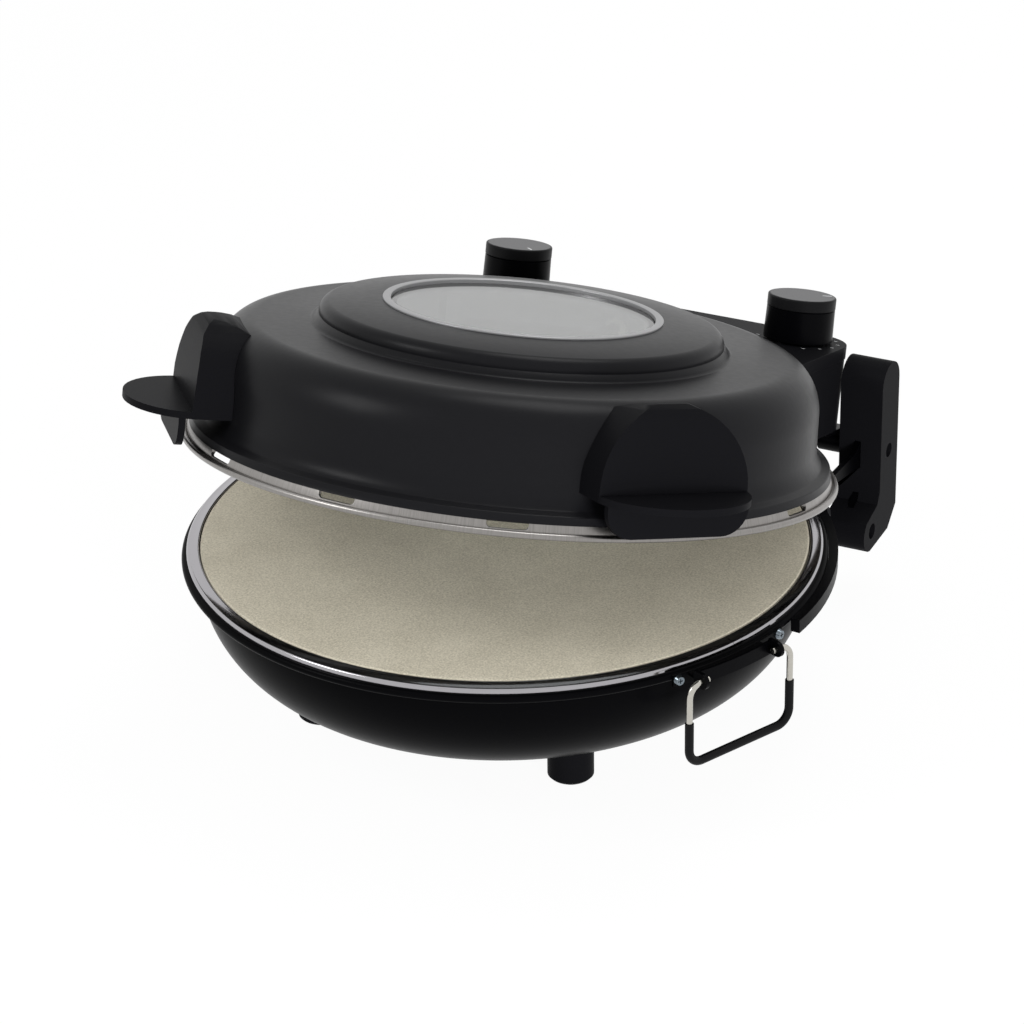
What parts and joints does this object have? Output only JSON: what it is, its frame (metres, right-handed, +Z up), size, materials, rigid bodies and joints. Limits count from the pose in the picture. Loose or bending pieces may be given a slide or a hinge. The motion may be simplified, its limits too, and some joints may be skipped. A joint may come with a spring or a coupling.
{
  "type": "countertop pizza oven",
  "caption": "Round electric countertop pizza oven: a baking stone in a shallow pan under a domed, hinged lid with a glass window, side handles and rear controls.",
  "frame": {"origin": "on the table, under the middle of the whole oven as it stands with its lid open", "axes": "+Z up; -Y the front, where the lid opens; the hinge and the controls are at +Y"},
  "size_m": [0.3544, 0.3728, 0.2236],
  "materials": {
    "black_enamel": "smooth satin black enamel",
    "black_paint": "fine satin black powder paint",
    "bright_trim": "polished pressed steel",
    "band_steel": "bright steel brushed up and down",
    "inner_steel": "dull bright sheet steel",
    "bezel_steel": "satin brushed steel",
    "element_steel": "dark oxidised metal tube",
    "ceramic": "matt off-white ceramic",
    "stone": "matt beige baking stone with a fine speckle",
    "moulded_black": "matt black moulded plastic with a fine grain",
    "knob_black": "smooth satin black plastic",
    "cap_black": "satin black plastic",
    "rubber": "matt black rubber",
    "zinc": "bright zinc plate",
    "black_screw": "blackened steel",
    "pin_steel": "plain ground steel",
    "wire_steel": "bright plated wire",
    "glass": "clear tempered glass, dark from the lid's inside",
    "gasket": "matt black silicone rubber",
    "control_body": "matt cream moulding",
    "timer_case": "plain pressed metal case"
  },
  "bodies": {
    "base": {"base_pan": "black_enamel", "trim_ring": "bright_trim", "lower_reflector": "inner_steel", "lower_element": "element_steel", "lower_element_clips": "inner_steel", "lower_bushings": "ceramic", "terminal_cover": "black_paint", "stone_supports": "inner_steel", "foot_front_right": "moulded_black", "foot_front_left": "moulded_black", "foot_rear_right": "moulded_black", "foot_rear_left": "moulded_black", "foot_pads": "rubber", "foot_screws": "zinc", "bail_bracket_right": "black_paint", "bail_bracket_left": "black_paint", "bracket_screws": "zinc", "rear_yoke": "black_paint", "hinge_post_right": "moulded_black", "hinge_post_left": "moulded_black", "post_screws": "black_screw", "hinge_pin_right": "pin_steel", "hinge_pin_left": "pin_steel"},
    "stone": {"baking_stone": "stone"},
    "lid": {"lid_shell": "black_enamel", "lid_band": "band_steel", "lid_liner": "inner_steel", "window_bezel": "bezel_steel", "window_glass": "glass", "window_gasket": "gasket", "window_retainer": "inner_steel", "upper_element": "element_steel", "upper_element_clips": "inner_steel", "upper_bushings": "ceramic", "handle_right": "moulded_black", "handle_left": "moulded_black", "handle_screws": "zinc", "control_housing": "moulded_black", "control_panel": "moulded_black", "housing_base": "moulded_black", "housing_screws": "zinc", "hinge_arm_right": "black_paint", "hinge_arm_left": "black_paint", "thermostat": "control_body", "timer": "timer_case", "control_nuts": "zinc", "cord_gland": "moulded_black", "terminal_block": "control_body"},
    "right_knob": {"knob_right": "knob_black", "knob_cap_right": "cap_black", "knob_spindle_right": "pin_steel"},
    "left_knob": {"knob_left": "knob_black", "knob_cap_left": "cap_black", "knob_spindle_left": "pin_steel"},
    "right_bail": {"bail_wire_right": "wire_steel", "bail_sleeve_right": "rubber"},
    "left_bail": {"bail_wire_left": "wire_steel", "bail_sleeve_left": "rubber"}
  },
  "joints": [
    {"name": "lid_hinge", "type": "hinge", "parent": "base", "child": "lid", "pos_m": [0, 0.16916, 0.08], "axis": [-1, 0, 0], "range_deg": [-13.67, 76.3]},
    {"name": "stone_lift", "type": "slide", "parent": "base", "child": "stone", "axis": [0, 0, 1], "range_m": [0, 0.012]},
    {"name": "right_knob_turn", "type": "hinge", "parent": "lid", "child": "right_knob", "pos_m": [0.084, 0.16147, 0.13806], "axis": [0, 0.2363, 0.9717], "range_deg": [0, 300]},
    {"name": "left_knob_turn", "type": "hinge", "parent": "lid", "child": "left_knob", "pos_m": [-0.084, 0.16147, 0.13806], "axis": [0, 0.2363, 0.9717], "range_deg": [0, 300]},
    {"name": "right_bail_swing", "type": "hinge", "parent": "base", "child": "right_bail", "pos_m": [0.16186, -0.09172, 0.084], "axis": [-0.3987, -0.9171, 0], "range_deg": [-8, 90]},
    {"name": "left_bail_swing", "type": "hinge", "parent": "base", "child": "left_bail", "pos_m": [-0.16186, 0.04904, 0.084], "axis": [0.3987, 0.9171, 0], "range_deg": [-8, 90]}
  ]
}
